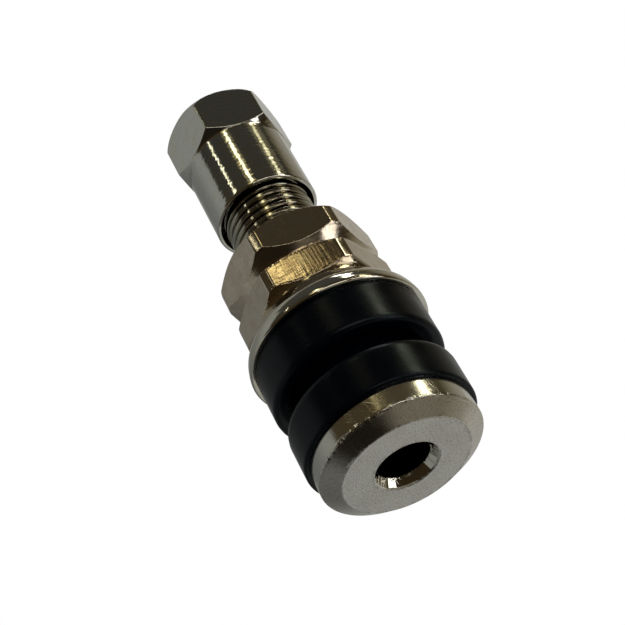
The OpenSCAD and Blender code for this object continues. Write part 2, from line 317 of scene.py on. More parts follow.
def new_material(name: str) -> tuple[bpy.types.Material, Graph, bpy.types.Node]:
    """Starts a node material.

    Args:
        name: The material's name.

    Returns:
        The material, its graph and its Principled shader.
    """
    material = bpy.data.materials.new(name)
    material.use_nodes = True
    return material, Graph(material.node_tree), material.node_tree.nodes["Principled BSDF"]


@dataclass(frozen=True, kw_only=True)
class PlatedFinish:
    """Nickel plate over turned or drawn brass, or bare metal, with lengths in millimetres; painted shade can
    darken the inside of a bore.

    Attributes:
        plate: Colour of the plate.
        worn: Colour where the plate is rubbed.
        rough: Roughness of the cleanest places.
        smudged: Roughness added by handling.
        spacing: Distance between tool marks.
        mark_depth: Height of the tool marks.
        ripple: Height of the plate's ripples.
        scratched: Amount of thin scratches.
        rubbed: Amount of wear on the edges.
        lay: Which way the tool marks run.
        porous: Amount of dark pores.
        painted_shade_r: Radius within which painted shade darkens the metal inside a bore.
        roof_z: Height above which nothing is inside, so no painted shade.
        patches: Handled patches in a millimetre.
        handled: How much of the rubbed colour a handled patch has.
        pore: Colour of the pores.
        dark: Colour of the painted shade inside.
        drawn: Ripples in a millimetre, round the axis and along it.
    """

    plate: Colour
    worn: Colour
    rough: float
    smudged: float
    spacing: float = 0.12
    mark_depth: float = 0.0015
    ripple: float
    scratched: float = 0.15
    rubbed: float
    lay: Lay = Lay.ROUND
    porous: float = 0.0
    painted_shade_r: float = 0.0
    roof_z: float = 39.0
    patches: float = 1.0
    handled: float = 0.5
    pore: Colour = (0.12, 0.10, 0.08)
    dark: Colour = (0.012, 0.011, 0.010)
    drawn: Span = (1.6, 4.5)

    def material(self, name: str, effects: Effects) -> bpy.types.Material:
        """Makes the material.

        Args:
            name: Its name.
            effects: The shared node groups.

        Returns:
            The material.
        """
        material, graph, shader = new_material(name)
        point, radius, height, way_round = graph.group(effects.place)
        across, along = (height, way_round) if self.lay is Lay.ROUND else (way_round, height)
        marks = graph.group(effects.marks, Across=across, Along=along, Spacing=self.spacing)[0]
        smudges = graph.group(effects.smudges, Point=point, Scale=self.patches)[0]
        scratches = graph.group(effects.scratches, Point=point, Amount=self.scratched)[0]
        wear = graph.group(effects.wear, Point=point, Amount=self.rubbed)[0]
        pores = graph.times(graph.group(effects.pores, Point=point)[0], self.porous)
        # Painted shade: the metal inside the bore, below roof_z, is darkened to the dark colour.
        inside = graph.times(
            graph.under(radius, self.painted_shade_r - 0.03, self.painted_shade_r),
            graph.under(height, self.roof_z, self.roof_z + 0.1),
        )
        colour = graph.blend(graph.times(smudges, self.handled), self.plate, self.worn)
        for mask, over in ((wear, self.worn), (pores, self.pore), (inside, self.dark)):
            colour = graph.blend(mask, colour, over)
        rough = graph.add_up(
            self.rough, (smudges, self.smudged), (scratches, 0.2), (pores, 0.3), (wear, 0.06)
        )
        graph.fill(shader.inputs, {"Base Color": colour, "Metallic": 1.0, "Roughness": rough})
        drawn_out = graph.vector(
            graph.times(way_round, self.drawn[0]), graph.times(height, self.drawn[1]), radius
        )
        ripple = graph.noise(drawn_out, 1.0, 0.4)
        relief = graph.add_up(
            0.0, (marks, self.mark_depth), (ripple, self.ripple), (wear, 0.02), (scratches, -SCRATCH_DEPTH)
        )
        graph.emboss(shader, relief)
        return material


@dataclass(frozen=True)
class StemFinish:
    """Plated stem: faced end, scratched chamfer, polished band and a thread whose roots are darkened with
    painted shade.

    Attributes:
        plate: Colour of the polished band.
        faced: Colour of the matte end face.
        chamfer: Colour of the chamfer round it.
        dulled: Colour of the thread's rubbed crests.
        grime_and_shade: Colour of the pores, and of the painted shade in the thread's roots.
        bore: Colour of the painted shade in the drilled bore.
        face_top: Height below which the end face lies, in millimetres.
        chamfer_top: Height at which the chamfer ends.
        worn_top: Height above which no edge is rubbed.
        thread_z: Heights between which the thread sets in.
        bore_z: Heights between which the bore sets in.
        root_r: Radius below which the thread gets painted shade.
        inlet_r: Radii between which the inlet ends.
        sink_r: Radii between which the countersink ends.
        bore_r: Radii between which the bore ends.
        rough: Roughness of the end face and of the rest.
        chatter: Height of the cutter's marks in the countersink.
    """

    plate: Colour = (0.75, 0.73, 0.66)
    faced: Colour = (0.87, 0.86, 0.82)
    chamfer: Colour = (0.68, 0.64, 0.57)
    dulled: Colour = (0.38, 0.36, 0.29)
    grime_and_shade: Colour = (0.10, 0.08, 0.05)
    bore: Colour = (0.03, 0.028, 0.025)
    face_top: float = 0.04
    chamfer_top: float = 0.93
    worn_top: float = 2.0
    thread_z: Span = (7.0, 7.5)
    bore_z: Span = (0.7, 0.9)
    root_r: float = 3.62
    inlet_r: Span = (2.7, 2.8)
    sink_r: Span = (2.6, 2.7)
    bore_r: Span = (2.25, 2.3)
    rough: Span = (0.42, 0.16)
    chatter: float = 0.24

    def material(self, name: str, effects: Effects) -> bpy.types.Material:
        """Makes the material.

        Args:
            name: Its name.
            effects: The shared node groups.

        Returns:
            The material.
        """
        material, graph, shader = new_material(name)
        point, radius, height, way_round = graph.group(effects.place)
        off_face = graph.spread(height, self.face_top, self.face_top + 0.02)
        off_chamfer = graph.spread(height, self.chamfer_top, self.chamfer_top + 0.04)
        off_edge = graph.math("MAXIMUM", off_chamfer, graph.under(radius, *self.inlet_r))
        on_thread = graph.spread(height, *self.thread_z)
        # Painted shade: the thread's roots and the flanks beside them are darkened.
        root_shade = graph.under(radius, self.root_r, self.root_r + 0.16, 0.92)
        # Painted shade: the drilled bore is darkened.
        bore_shade = graph.times(graph.under(radius, *self.bore_r), graph.spread(height, *self.bore_z))
        in_sink = graph.under(radius, *self.sink_r, self.chatter)
        rings = graph.group(effects.marks, Across=radius, Along=way_round, Spacing=0.07, Length=5.0)[0]
        turned = graph.group(effects.marks, Across=height, Along=way_round, Spacing=0.09, Length=7.0)[0]
        smudges = graph.group(effects.smudges, Point=point)[0]
        scratches = graph.group(effects.scratches, Point=point, Amount=0.3)[0]
        wear = graph.group(effects.wear, Point=point, Amount=0.7)[0]
        wear = graph.times(wear, graph.under(height, self.worn_top, self.worn_top + 0.2))
        pores = graph.group(effects.pores, Point=point, Scale=8.5)[0]
        worn = graph.blend(graph.times(pores, 0.4), self.chamfer, self.grime_and_shade)
        faced = graph.blend(graph.times(pores, 0.55), self.faced, self.grime_and_shade)
        colour = graph.blend(off_face, faced, graph.blend(off_edge, worn, self.plate))
        for mask, over in (
            (graph.times(on_thread, 0.8), self.dulled),
            (graph.times(on_thread, root_shade), self.grime_and_shade),
            (bore_shade, self.bore),
        ):
            colour = graph.blend(mask, colour, over)
        rough = graph.spread(off_face, 0.0, 1.0, *self.rough)
        rough = graph.add_up(rough, (off_chamfer, -0.02), (on_thread, -0.10), (smudges, 0.06))
        rough = graph.add_up(rough, (in_sink, -0.5), (scratches, 0.12), (wear, 0.08))
        graph.fill(shader.inputs, {"Base Color": colour, "Metallic": 1.0, "Roughness": rough})
        lines = graph.add("Mix", {0: off_face, 2: rings, 3: turned}, data_type="FLOAT")[0]
        chatter = graph.noise(graph.vector(way_round, 0.0, 0.0), 0.5, 1.0)
        relief = graph.add_up(
            0.0, (lines, 0.004), (scratches, -SCRATCH_DEPTH), (wear, 0.05), (chatter, in_sink)
        )
        graph.emboss(shader, relief)
        return material


@dataclass(frozen=True)
class RubberFinish:
    """Moulded black rubber.

    Attributes:
        fresh: Colour of the clean rubber.
        bloom: Colour where it is dusty.
        rough: Roughness of the clean rubber.
        grain: Height of the mould's grain in millimetres.
        sheen: Strength of its reflections.
        tint: Colour of its reflections.
    """

    fresh: Colour
    bloom: Colour
    rough: float
    grain: float
    sheen: float = 0.20
    tint: Colour = (0.72, 0.90, 1.0)

    def material(self, name: str, effects: Effects) -> bpy.types.Material:
        """Makes the material.

        Args:
            name: Its name.
            effects: The shared node groups.

        Returns:
            The material.
        """
        material, graph, shader = new_material(name)
        point = graph.group(effects.place)["Point"]
        smudges = graph.group(effects.smudges, Point=point, Scale=0.55)[0]
        wear = graph.group(effects.wear, Point=point, Amount=0.5)[0]
        dusty = graph.math("MAXIMUM", graph.times(smudges, 0.5), wear)
        colour = graph.blend(dusty, self.fresh, self.bloom)
        rough = graph.add_up(self.rough, (dusty, 0.12))
        graph.fill(shader.inputs, {"Base Color": colour, "Roughness": rough})
        graph.fill(shader.inputs, {"Specular IOR Level": self.sheen, "Specular Tint": self.tint})
        coarse = graph.noise(point, 2.2, 2.0)
        fine = graph.noise(point, 14.0, 2.0)
        graph.emboss(shader, graph.add_up(fine, (coarse, 2.0)), self.grain * MM)
        return material


class Shelf:
    """The finished materials, by the record's material slot."""

    # Painted shade darkens the nuts' bores and the cap's inside within CLEAR_R.
    CLEAR_R = 4.26
    NUT = {"lay": Lay.AXIAL, "rubbed": 0.6, "painted_shade_r": CLEAR_R}
    BARE = {"mark_depth": 0.003, "ripple": 0.003, "scratched": 0.3, "rubbed": 0.3}
    FINISHES = {
        "plated_stem": StemFinish(),
        "rubber": RubberFinish((0.0001, 0.0005, 0.0022), (0.0004, 0.0009, 0.0026), 0.24, 0.0008),
        "plated_washer": PlatedFinish(
            plate=(0.76, 0.74, 0.67), worn=(0.70, 0.62, 0.46), rough=0.05, smudged=0.04,
            ripple=0.006, rubbed=0.1, porous=0.15,
        ),
        "drawn_nut": PlatedFinish(
            plate=(0.75, 0.68, 0.56), worn=(0.66, 0.52, 0.38), rough=0.07, smudged=0.04,
            ripple=0.004, spacing=0.20, mark_depth=0.0042, scratched=0.12, porous=0.14, **NUT,
        ),
        "plated_nut": PlatedFinish(
            plate=(0.76, 0.68, 0.55), worn=(0.62, 0.50, 0.40), rough=0.10, smudged=0.05,
            ripple=0.007, porous=0.28, **NUT,
        ),
        "plated_cap": PlatedFinish(
            plate=(0.75, 0.75, 0.71), worn=(0.71, 0.68, 0.58), rough=0.06, smudged=0.03, ripple=0.016,
            rubbed=0.4, spacing=0.10, mark_depth=0.001, scratched=0.04, porous=0.16, painted_shade_r=CLEAR_R,
        ),
        "seal_rubber": RubberFinish((0.016, 0.016, 0.017), (0.035, 0.034, 0.032), 0.55, 0.006),
        "core_brass": PlatedFinish(
            plate=(0.80, 0.62, 0.30), worn=(0.62, 0.46, 0.22), rough=0.26, smudged=0.12, spacing=0.08, **BARE
        ),
        "spring_steel": PlatedFinish(
            plate=(0.60, 0.60, 0.62), worn=(0.42, 0.40, 0.38), rough=0.28, smudged=0.10, spacing=0.05, **BARE
        ),
    }

    def __init__(self) -> None:
        """Makes one material for each slot."""
        effects = Effects()
        self.materials = {
            slot: finish.material(f"{slot}_finish", effects) for slot, finish in self.FINISHES.items()
        }

    def install(self, piece: bpy.types.Object, node: str, body: str, slot: str) -> str:
        """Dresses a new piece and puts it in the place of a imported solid.

        Args:
            piece: The new piece.
            node: The solid that it stands for.
            body: The body that it moves with.
            slot: The record's material slot.

        Returns:
            The piece's name.
        """
        piece.data.materials.append(self.materials[slot])
        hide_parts(node)
        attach(piece, body)
        return piece.name


@dataclass(frozen=True)
class Corner:
    """A corner of a section through the axis, in millimetres.

    Attributes:
        r: Distance from the axis.
        z: Height above the head's face.
        fillet: Radius of its rounding, 0 for none.
    """

    r: float
    z: float
    fillet: float = 0.0


ARC_STEPS = 4
BESIDE_EDGE = 0.2
LONGEST_REACH = 0.45
LONGEST_REST = 0.4


def rounded(corners: Sequence[Corner], closed: bool = True) -> tuple[np.ndarray, np.ndarray]:
    """Rounds the corners of a section.

    Args:
        corners: The section's corners, anticlockwise with the axis on the left.
        closed: Whether the last corner joins the first.

    Returns:
        The points of the rounded section, and for each point 1 on a rounding or 0 elsewhere.
    """
    spots = np.array([(c.r, c.z) for c in corners])
    points: list[np.ndarray] = []
    edges: list[float] = []
    for i, corner in enumerate(corners):
        is_end = not closed and i in (0, len(corners) - 1)
        if corner.fillet <= 0.0 or is_end:
            points.append(spots[i])
            edges.append(0.0)
            continue
        sides = (spots[i - 1] - spots[i], spots[(i + 1) % len(spots)] - spots[i])
        lengths = [float(np.linalg.norm(side)) for side in sides]
        back, ahead = (side / length for side, length in zip(sides, lengths))
        half = 0.5 * math.acos(float(np.clip(back @ ahead, -1.0, 1.0)))
        reach = min(corner.fillet / math.tan(half), LONGEST_REACH * min(lengths))
        radius = reach * math.tan(half)
        middle = (back + ahead) / np.linalg.norm(back + ahead)
        centre = spots[i] + middle * radius / math.sin(half)
        start = spots[i] + back * reach
        stop = spots[i] + ahead * reach
        first = math.atan2(*(start - centre)[::-1])
        swing = math.remainder(math.atan2(*(stop - centre)[::-1]) - first, math.tau)
        steps = first + swing * np.linspace(0.0, 1.0, ARC_STEPS + 1)
        rest = [min(BESIDE_EDGE, LONGEST_REST * (0.5 * length - reach)) for length in lengths]
        points.append(start + back * rest[0])
        points.extend(centre + radius * np.array((math.cos(a), math.sin(a))) for a in steps)
        points.append(stop + ahead * rest[1])
        edges.extend([0.0] + [1.0] * len(steps) + [0.0])
    return np.array(points), np.array(edges)


def even_turns(count: int) -> np.ndarray:
    """Gives evenly spaced angles round the axis, in degrees from -Y towards +X."""
    return np.arange(count) * 360.0 / count


def revolve(
    name: str, sections: np.ndarray, turns: np.ndarray, edges: np.ndarray, closed: bool = True
) -> bpy.types.Object:
    """Sweeps sections round the axis into one closed mesh.

    Args:
        name: The new object's name.
        sections: One section for each angle, as radius and height in millimetres.
        turns: The angles, in degrees from -Y towards +X.
        edges: Edge value of each point of a section.
        closed: Whether a section joins up; if not, its first and last points lie on the axis.

    Returns:
        The new object.
    """
    angles = np.radians(turns)[:, None]
    radius, height = sections[:, :, 0], sections[:, :, 1]
    grid = np.stack((radius * np.sin(angles), -radius * np.cos(angles), height), axis=2) * MM
    caps = np.empty((0, 3))
    if not closed:
        caps = grid[0, [0, -1]] * (0.0, 0.0, 1.0)
        grid = grid[:, 1:-1]
        edges = edges[1:-1]
    rounds, count = grid.shape[:2]
    index = np.arange(rounds * count).reshape(rounds, count)
    ahead = np.roll(index, -1, axis=0)
    if closed:
        quads = (index, ahead, np.roll(ahead, -1, axis=1), np.roll(index, -1, axis=1))
    else:
        quads = (index[:, :-1], ahead[:, :-1], ahead[:, 1:], index[:, 1:])
    faces = np.stack([q.ravel() for q in quads], axis=1).tolist()
    if not closed:
        low, high = rounds * count, rounds * count + 1
        faces += [(low, b, a) for a, b in zip(index[:, 0].tolist(), ahead[:, 0].tolist())]
        faces += [(a, b, high) for a, b in zip(index[:, -1].tolist(), ahead[:, -1].tolist())]
    mesh = bpy.data.meshes.new(name)
    mesh.from_pydata(np.concatenate((grid.reshape(-1, 3), caps)).tolist(), [], faces)
    mesh.shade_smooth()
    mark = mesh.attributes.new("edge", "FLOAT", "POINT")
    mark.data.foreach_set("value", np.concatenate((np.tile(edges, rounds), np.zeros(len(caps)))))
    piece = bpy.data.objects.new(name, mesh)
    bpy.context.scene.collection.objects.link(piece)
    shading = piece.modifiers.new("flat_faces_stay_flat", "WEIGHTED_NORMAL")
    shading.mode = "FACE_AREA"
    return piece


def lathe(name: str, corners: Sequence[Corner], count: int = 192) -> bpy.types.Object:
    """Turns a section into a round piece of that name, in a count of steps round the axis."""
    section, edges = rounded(corners)
    return revolve(name, np.tile(section, (count, 1, 1)), even_turns(count), edges)


@dataclass
class Assembly:
    """Pieces that are built and dressed together, with sizes in millimetres."""

    shelf: Shelf


@dataclass
class TurnedStem(Assembly):
    """The stem: head, thread and bore turned from one bar."""

    thread_r: float = 3.85
    head_r: float = 6.75
    head_h: float = 2.7
    face_r: float = 5.3
    chamfer_h: float = 0.95
    inlet_r: float = 2.7
    inlet_h: float = 0.8
    air_r: float = 2.2
    air_l: float = 17.0
    bore_step: float = 0.4
    core_bore_r: float = 1.95
    core_thread_r: float = 2.6
    seat_z: float = 29.25
    seat_top: float = 31.55
    stem_l: float = 37.8
    tip_chamfer: float = 0.5
    thread_from: float = 9.0
    thread_depth: float = 0.44
    crest_share: float = 0.45
    root_from: float = 0.95
    rows_a_turn: int = 20
    columns: int = 112

    def thread_radius(self, turns: np.ndarray, heights: np.ndarray) -> np.ndarray:
        """Gives the radius of the threaded wall.

        Args:
            turns: Angles in degrees.
            heights: Heights in millimetres.

        Returns:
            Radius for each angle and height.
        """
        phase = (heights[None, :] / PITCH - turns[:, None] / 360.0) % 1.0
        from_crest = np.abs(phase - 0.5) * 2.0
        slope = np.clip((from_crest - self.crest_share) / (self.root_from - self.crest_share), 0.0, 1.0)
        fade = np.clip((heights - self.thread_from) / PITCH, 0.0, 1.0)
        cut = self.thread_r - self.thread_depth * slope * fade[None, :]
        cone = self.thread_r - np.clip(heights - (self.stem_l - self.tip_chamfer), 0.0, None)
        return np.minimum(cut, cone[None, :])

    def build(self) -> Iterator[str]:
        """Builds and dresses the stem.

        Returns:
            The names of the pieces.
        """
        low = [
            Corner(self.air_r, self.inlet_h, 0.06),
            Corner(self.inlet_r, 0.0, 0.06),
            Corner(self.face_r, 0.0, 0.07),
            Corner(self.head_r, self.chamfer_h, 0.13),
            Corner(self.head_r, self.head_h, 0.1),
            Corner(self.thread_r, self.head_h),
        ]
        high = [
            Corner(self.core_thread_r + 0.5 * self.tip_chamfer, self.stem_l),
            Corner(self.core_thread_r, self.stem_l - 0.5 * self.tip_chamfer),
            Corner(self.core_thread_r, self.seat_top),
            Corner(self.core_bore_r, self.seat_z),
            Corner(self.core_bore_r, self.air_l + self.bore_step),
            Corner(self.air_r, self.air_l),
        ]
        turns = even_turns(self.columns)
        rows = int((self.stem_l - self.thread_from) / PITCH * self.rows_a_turn)
        heights = np.linspace(self.thread_from, self.stem_l, rows)
        radii = self.thread_radius(turns, heights)
        wall = np.stack((radii, np.tile(heights, (self.columns, 1))), axis=2)
        section, edges = rounded(low + high)
        split = len(section) - len(high)
        below = np.tile(section[:split], (self.columns, 1, 1))
        above = np.tile(section[split:], (self.columns, 1, 1))
        sections = np.concatenate((below, wall, above), axis=1)
        marks = np.concatenate((edges[:split], np.zeros(rows), edges[split:]))
        piece = revolve("turned_stem", sections, turns, marks)
        yield self.shelf.install(piece, "stem", "stem_body", "plated_stem")


@dataclass
class RimRings(Assembly):
    """The two rubber rings that grip the wheel's rim."""

    inner_r: float = 7.15
    outer_r: float = 7.25
    neck_r: float = 5.65
    head_top: float = 2.7
    ring_top: float = 6.55
    neck_top: float = 8.4
    rim_z: float = 12.45
    ceiling: float = 14.35
    hollow_low_r: float = 7.07
    hollow_high_r: float = 5.65

    def build(self) -> Iterator[str]:
        """Builds and dresses both rings.

        Returns:
            The names of the pieces.
        """
        inner = [
            Corner(HOLE_R, self.head_top),
            Corner(self.inner_r, self.head_top, 0.2),
            Corner(self.inner_r, self.ring_top, 0.7),
            Corner(self.neck_r, self.ring_top, 0.25),
            Corner(self.neck_r, self.neck_top),
            Corner(HOLE_R, self.neck_top),
        ]
        outer = [
            Corner(HOLE_R, self.neck_top),
            Corner(self.outer_r, self.neck_top, 0.45),
            Corner(self.outer_r, self.rim_z, 0.15),
            Corner(self.hollow_low_r, self.rim_z),
            Corner(self.hollow_high_r, self.ceiling, 0.1),
            Corner(HOLE_R, self.ceiling),
        ]
        yield self.shelf.install(lathe("inner_rubber_ring", inner), "inner_grommet", "stem_body", "rubber")
        yield self.shelf.install(lathe("outer_rubber_ring", outer), "outer_grommet", "clamp_stack", "rubber")


@dataclass
class BellWasher(Assembly):
    """The dished washer over the outer ring."""

    rim_r: float = 7.65
    rim_z: float = 12.45
    rim_h: float = 0.9
    bevel_from: float = 0.35
    bevel: float = 0.3
    top: float = 15.35
    crown_r: float = 5.5
    shoulder_r: float = 1.3
    metal: float = 0.95
    shoulder_steps: int = 12

    def build(self) -> Iterator[str]:
        """Builds and dresses the washer.

        Returns:
            The names of the pieces.
        """
        centre = (self.crown_r, self.top - self.shoulder_r)
        edge = (self.rim_r, self.rim_z + self.rim_h)
        reach = (edge[0] - centre[0], edge[1] - centre[1])
        lean = math.atan2(reach[1], reach[0]) + math.acos(self.shoulder_r / math.hypot(*reach))
        out, up = math.cos(lean), math.sin(lean)
        slope = math.tan(0.5 * math.pi - lean)
        wall = (edge[0] - self.metal * out, edge[1] - self.metal * up)
        ceiling = self.top - self.metal

        def hollow_r(z: float) -> float:
            """Gives the radius of the hollow at a height."""
            return wall[0] - (z - wall[1]) / slope

        shoulder = [
            Corner(centre[0] + self.shoulder_r * math.cos(a), centre[1] + self.shoulder_r * math.sin(a))
            for a in np.linspace(lean, 0.5 * math.pi, self.shoulder_steps)
        ]
        piece = lathe(
            "pressed_washer",
            [
                Corner(hollow_r(self.rim_z), self.rim_z, 0.05),
                Corner(self.rim_r, self.rim_z, 0.16),
                Corner(self.rim_r, self.rim_z + self.bevel_from, 1.4),
                Corner(edge[0] - self.bevel * up, edge[1] + self.bevel * out, 1.5),
                *shoulder,
                Corner(HOLE_R, self.top),
                Corner(HOLE_R, ceiling),
                Corner(hollow_r(ceiling), ceiling, 0.1),
            ],
        )
        yield self.shelf.install(piece, "bell_washer", "clamp_stack", "plated_washer")


@dataclass
class SixSided(Assembly):
    """A piece with six flats; turn is the angle of one flat's normal, soft its corners' rounding."""

    across: float = 11.8
    turn: float = 8.0
    soft: float = 0.014

    def sweep(
        self, name: str, section: Callable[[float], list[Corner]], turned_r: float, closed: bool = True
    ) -> bpy.types.Object:
        """Sweeps a section round the axis, in steps that crowd at the hexagon's corners.

        Args:
            name: The new object's name.
            section: Gives the section's corners for the wall's distance from the axis.
            turned_r: Radius to which the hexagon's corners are turned.
            closed: Whether the section joins up.

        Returns:
            The new object.
        """
        steps = np.concatenate((np.linspace(-25.0, 25.0, 25), np.linspace(25.4, 34.6, 24)))
        turns = np.concatenate([self.turn + 60.0 * side + steps for side in range(6)])
        offset = np.abs((turns - self.turn + 30.0) % 60.0 - 30.0)
        near, far = (0.5 * self.across / np.cos(np.radians(a)) for a in (offset, 60.0 - offset))
        walls = np.stack((near, far, np.full_like(near, turned_r)))
        sums = np.exp((near.min() - walls) / self.soft).sum(axis=0)
        radii = near.min() - self.soft * np.log(sums)
        cuts = [rounded(section(float(r)), closed) for r in radii]
        return revolve(name, np.stack([c[0] for c in cuts]), turns, cuts[0][1], closed)


@dataclass
class HexNut(SixSided):
    """A hexagon nut with turned chamfers."""

    name: str = "drawn_clamp_nut"
    node: str = "clamp_nut"
    body: str = "clamp_nut_body"
    slot: str = "drawn_nut"
    z: float = 15.35
    h: float = 3.5
    chamfer: float = 30.0
    corner_r: float = 6.6
    face_r: float = 5.35
    lead: float = 0.4

    def section(self, wall_r: float) -> list[Corner]:
        """Gives the nut's section, from its bore's lower end outwards.

        Args:
            wall_r: Distance from the axis to the six-sided wall.

        Returns:
            The section's corners.
        """
        rise = (wall_r - self.face_r) * math.tan(math.radians(self.chamfer))
        top = self.z + self.h
        return [
            Corner(HOLE_R + self.lead, self.z, 0.03),
            Corner(self.face_r, self.z, 0.05),
            Corner(wall_r, self.z + rise, 0.06),
            Corner(wall_r, top - rise, 0.06),
            Corner(self.face_r, top, 0.05),
            Corner(HOLE_R + self.lead, top, 0.03),
            Corner(HOLE_R, top - self.lead),
            Corner(HOLE_R, self.z + self.lead),
        ]

    def build(self) -> Iterator[str]:
        """Builds and dresses the nut, and gives its name."""
        piece = self.sweep(self.name, self.section, self.corner_r)
        yield self.shelf.install(piece, self.node, self.body, self.slot)


@dataclass
class ScrewCap(SixSided):
    """The screw cap with its hexagon end."""

    across: float = 9.2
    turn: float = 20.0
    soft: float = 0.008
    skirt_r: float = 4.55
    mouth_z: float = 28.23
    hex_z: float = 35.33
    top: float = 40.53
    roof_z: float = 38.83
    disc_z: float = 37.83
    pocket_r: float = 4.05
    lead_in_r: float = 4.2
    lead_in_h: float = 0.7
    cone: float = 39.0
    flat_r: float = 3.05
    shoulder_r: float = 2.4
    corner_cut: float = 0.01
    shoulder_steps: int = 10

    def section(self, wall_r: float) -> list[Corner]:
        """Gives the cap's section, from its roof inside to its top outside.

        Args:
            wall_r: Distance from the axis to the six-sided wall.

        Returns:
            The section's corners.
        """
        lead_top = self.mouth_z + self.lead_in_h
        rise = (wall_r - self.skirt_r) * math.tan(math.radians(self.cone))
        first = math.acos((wall_r - self.flat_r) / self.shoulder_r)
        shoulder = [
            (self.flat_r + self.shoulder_r * math.cos(a), self.top - self.shoulder_r * (1 - math.sin(a)))
            for a in np.linspace(first, 0.5 * math.pi, self.shoulder_steps)
        ]
        return [
            Corner(0.0, self.roof_z),
            Corner(self.pocket_r, self.roof_z),
            Corner(self.pocket_r, self.disc_z),
            Corner(HOLE_R, self.disc_z),
            Corner(HOLE_R, lead_top + self.lead_in_r - HOLE_R),
            Corner(self.lead_in_r, lead_top, 0.05),
            Corner(self.lead_in_r, self.mouth_z, 0.06),
            Corner(self.skirt_r, self.mouth_z, 0.14),
            Corner(self.skirt_r, self.hex_z, 0.05),
            Corner(wall_r, self.hex_z + rise, 0.09),
            Corner(*shoulder[0], 0.08),
            *(Corner(r, z) for r, z in shoulder[1:]),
            Corner(0.0, self.top),
        ]

    def build(self) -> Iterator[str]:
        """Builds and dresses the cap.

        Returns:
            The names of the pieces.
        """
        turned_r = self.flat_r + self.shoulder_r - self.corner_cut
        piece = self.sweep("screw_cap", self.section, turned_r, closed=False)
        yield self.shelf.install(piece, "cap_shell", "cap_body", "plated_cap")


@dataclass
class ValveCore(Assembly):
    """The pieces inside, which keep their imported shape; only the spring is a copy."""

    slots: tuple[tuple[str, str], ...] = (
        ("cap_gasket", "seal_rubber"),
        ("core_swivel", "core_brass"),
        ("core_barrel", "core_brass"),
        ("core_gasket", "seal_rubber"),
        ("core_pin", "spring_steel"),
        ("core_cup", "core_brass"),
        ("core_cup_seal", "seal_rubber"),
    )
    spring_z: float = 21.95
    spring_l: float = 5.4
    pin_travel: float = 1.5

    def build(self) -> Iterator[str]:
        """Copies the spring and dresses the solids.

        Returns:
            The names of the pieces.
        """
        bpy.context.view_layer.update()
        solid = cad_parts["core_spring"]
        piece = bpy.data.objects.new("coil_spring", solid.data.copy())
        piece.matrix_world = solid.matrix_world
        piece.data.materials.clear()
        bpy.context.scene.collection.objects.link(piece)
        name = self.shelf.install(piece, "core_spring", "stem_body", "spring_steel")
        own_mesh(piece)
        yield name
        for node, slot in self.slots:
            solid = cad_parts[node]
            if not solid.material_slots:
                solid.data.materials.append(None)
            for place in solid.material_slots:
                place.material = self.shelf.materials[slot]
            yield node


@dataclass
class Lamp:
    """An upright strip of light beside the valve.

    Attributes:
        name: Its name.
        azimuth: Degrees from -Y towards +X.
        lowest: Elevation of its lower end in degrees, seen from the valve.
        highest: Elevation of its upper end.
        width: Its width in degrees.
        strength: Brightness of its face, where 1 is white.
        colour: Its colour.
        distance: How far it stands from the axis, in metres.
        level: Height from which the elevations count, in metres.
    """

    name: str
    azimuth: float
    lowest: float
    highest: float
    width: float
    strength: float
    colour: Colour
    distance: float = 0.4
    level: float = 0.02

    def build(self) -> None:
        """Stands the lamp upright so that it faces the axis."""
        turn = math.radians(self.azimuth)
        out = Vector((math.sin(turn), -math.cos(turn), 0.0))
        low, high = (self.distance * math.tan(math.radians(a)) for a in (self.lowest, self.highest))
        light = bpy.data.lights.new(self.name, "AREA")
        light.shape = "RECTANGLE"
        light.size = 2.0 * self.distance * math.tan(math.radians(0.5 * self.width))
        light.size_y = high - low
        light.energy = self.strength * math.pi * light.size * light.size_y
        light.color = self.colour
        lamp = bpy.data.objects.new(self.name, light)
        lamp.location = out * self.distance + Vector((0.0, 0.0, self.level + 0.5 * (low + high)))
        lamp.rotation_euler = out.to_track_quat("Z", "Y").to_euler()
        lamp.visible_camera = False
        bpy.context.scene.collection.objects.link(lamp)


